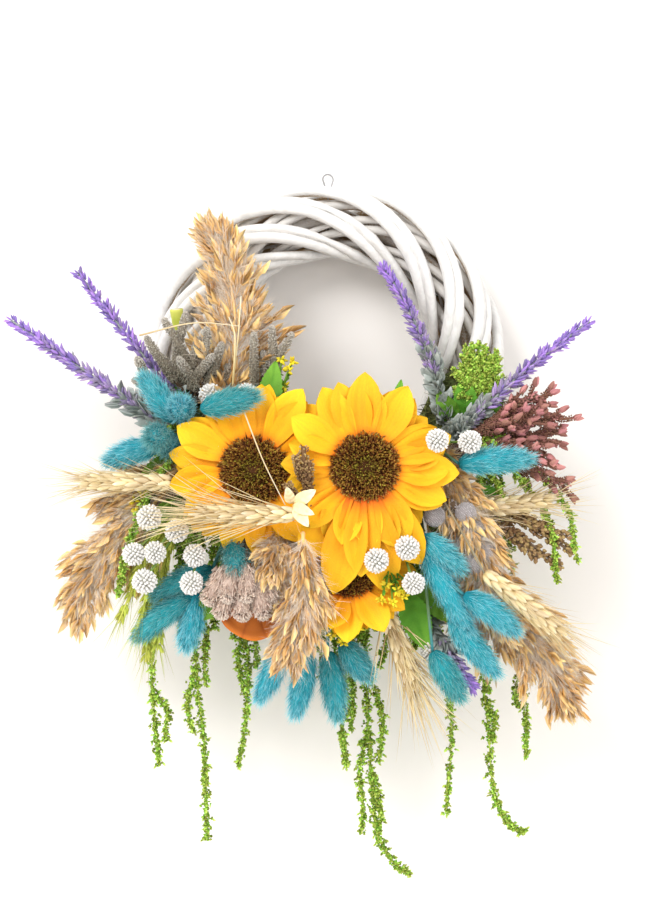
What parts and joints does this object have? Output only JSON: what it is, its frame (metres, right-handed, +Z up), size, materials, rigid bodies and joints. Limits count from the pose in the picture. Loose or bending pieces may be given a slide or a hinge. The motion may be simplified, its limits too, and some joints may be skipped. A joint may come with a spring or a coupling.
{
  "type": "harvest door wreath",
  "caption": "White willow ring with an asymmetric spray of sunflowers, dried grasses, lavender, teal tails and hanging green amaranth, hung from a wire loop.",
  "frame": {"origin": "top of the wire loop's eye, where the nail or hook carries it", "axes": "+Z up, +X to the viewer's right, -Y towards the viewer, with the door or wall behind at +Y"},
  "size_m": [0.3947, 0.1359, 0.4847],
  "materials": {
    "white_willow": "matte white paint on split and round willow, worn to tan at the edges",
    "wire": "bare steel wire",
    "moss": "dried moss over foam",
    "yellow_petal": "printed polyester, orange at the base",
    "brown_disc": "flocked bristles",
    "green_stem": "moulded green plastic",
    "lavender": "moulded flower buds, silver-green leaves",
    "pampas": "dried grass plume",
    "wheat": "dried straw",
    "teal_tail": "dyed dried grass fluff",
    "white_button": "white papery petals on green stems",
    "grey_brunia": "dried scaly twigs",
    "silver_brunia": "dried grey balls, finely pitted",
    "red_brunia": "dried red-brown twigs with pink tips",
    "brown_catkin": "dried brown twigs",
    "seed_head": "dried pink-beige bristly heads",
    "dried_orange": "dried fruit slice",
    "amaranth": "dried green amaranth"
  },
  "bodies": {
    "wreath": {"brunia_fingers_left": "grey_brunia", "brunia_fingers_right": "grey_brunia", "brunia_red": "red_brunia", "brunia_silver": "silver_brunia", "bunny_tail_right_top": "teal_tail", "bunny_tails_bottom": "teal_tail", "bunny_tails_left_low": "teal_tail", "bunny_tails_left_top": "teal_tail", "bunny_tails_right": "teal_tail", "button_flowers_left": "white_button", "button_flowers_left_top": "white_button", "button_flowers_right_low": "white_button", "button_flowers_right_top": "white_button", "catkins": "brown_catkin", "core_hoop": "white_willow", "dried_seed_heads": "seed_head", "green_tuft": "amaranth", "lavender_left_high": "lavender", "lavender_left_low": "lavender", "lavender_right_high": "lavender", "lavender_right_low": "lavender", "moss_pad": "moss", "orange_slice": "dried_orange", "pampas_centre": "pampas", "pampas_left": "pampas", "pampas_right": "pampas", "pampas_top": "pampas", "sunflower_left_disc": "brown_disc", "sunflower_left_petals": "yellow_petal", "sunflower_left_stem": "green_stem", "sunflower_low_disc": "brown_disc", "sunflower_low_petals": "yellow_petal", "sunflower_low_stem": "green_stem", "sunflower_right_disc": "brown_disc", "sunflower_right_petals": "yellow_petal", "sunflower_right_stem": "green_stem", "wheat_left_back": "wheat", "wheat_left_front": "wheat", "wheat_low": "wheat", "wheat_right": "wheat", "wheat_right_low": "wheat", "willow_rod_1": "white_willow", "willow_rod_2": "white_willow", "willow_rod_3": "white_willow", "willow_rod_4": "white_willow", "willow_rod_5": "white_willow", "willow_rod_6": "white_willow", "willow_slat_1": "white_willow", "willow_slat_2": "white_willow", "willow_slat_3": "white_willow", "willow_slat_4": "white_willow"},
    "loop": {"hanging_loop": "wire"},
    "amaranth_left_1_strand": {"amaranth_left_1": "amaranth"},
    "amaranth_left_2_strand": {"amaranth_left_2": "amaranth"},
    "amaranth_left_3_strand": {"amaranth_left_3": "amaranth"},
    "amaranth_centre_1_strand": {"amaranth_centre_1": "amaranth"},
    "amaranth_centre_2_strand": {"amaranth_centre_2": "amaranth"},
    "amaranth_right_1_strand": {"amaranth_right_1": "amaranth"},
    "amaranth_right_2_strand": {"amaranth_right_2": "amaranth"},
    "amaranth_right_3_strand": {"amaranth_right_3": "amaranth"}
  },
  "joints": [
    {"name": "loop_tip", "type": "hinge", "parent": "wreath", "child": "loop", "pos_m": [0, 0, -0.0326], "axis": [1, 0, 0], "range_deg": [-8, 8]},
    {"name": "amaranth_left_1_sway", "type": "hinge", "parent": "wreath", "child": "amaranth_left_1_strand", "pos_m": [-0.09973, -0.0326, -0.19292], "axis": [0, 1, 0], "range_deg": [-6, 6]},
    {"name": "amaranth_left_2_sway", "type": "hinge", "parent": "wreath", "child": "amaranth_left_2_strand", "pos_m": [-0.08169, -0.0326, -0.21519], "axis": [0, 1, 0], "range_deg": [-6, 6]},
    {"name": "amaranth_left_3_sway", "type": "hinge", "parent": "wreath", "child": "amaranth_left_3_strand", "pos_m": [-0.05701, -0.0326, -0.23346], "axis": [0, 1, 0], "range_deg": [-6, 6]},
    {"name": "amaranth_centre_1_sway", "type": "hinge", "parent": "wreath", "child": "amaranth_centre_1_strand", "pos_m": [0.00628, -0.0326, -0.25049], "axis": [0, 1, 0], "range_deg": [-6, 6]},
    {"name": "amaranth_centre_2_sway", "type": "hinge", "parent": "wreath", "child": "amaranth_centre_2_strand", "pos_m": [0.02904, -0.0326, -0.24708], "axis": [0, 1, 0], "range_deg": [-6, 6]},
    {"name": "amaranth_right_1_sway", "type": "hinge", "parent": "wreath", "child": "amaranth_right_1_strand", "pos_m": [0.0545, -0.0326, -0.23757], "axis": [0, 1, 0], "range_deg": [-6, 6]},
    {"name": "amaranth_right_2_sway", "type": "hinge", "parent": "wreath", "child": "amaranth_right_2_strand", "pos_m": [0.08187, -0.0326, -0.2184], "axis": [0, 1, 0], "range_deg": [-6, 6]},
    {"name": "amaranth_right_3_sway", "type": "hinge", "parent": "wreath", "child": "amaranth_right_3_strand", "pos_m": [0.1079, -0.0326, -0.18323], "axis": [0, 1, 0], "range_deg": [-6, 6]}
  ]
}
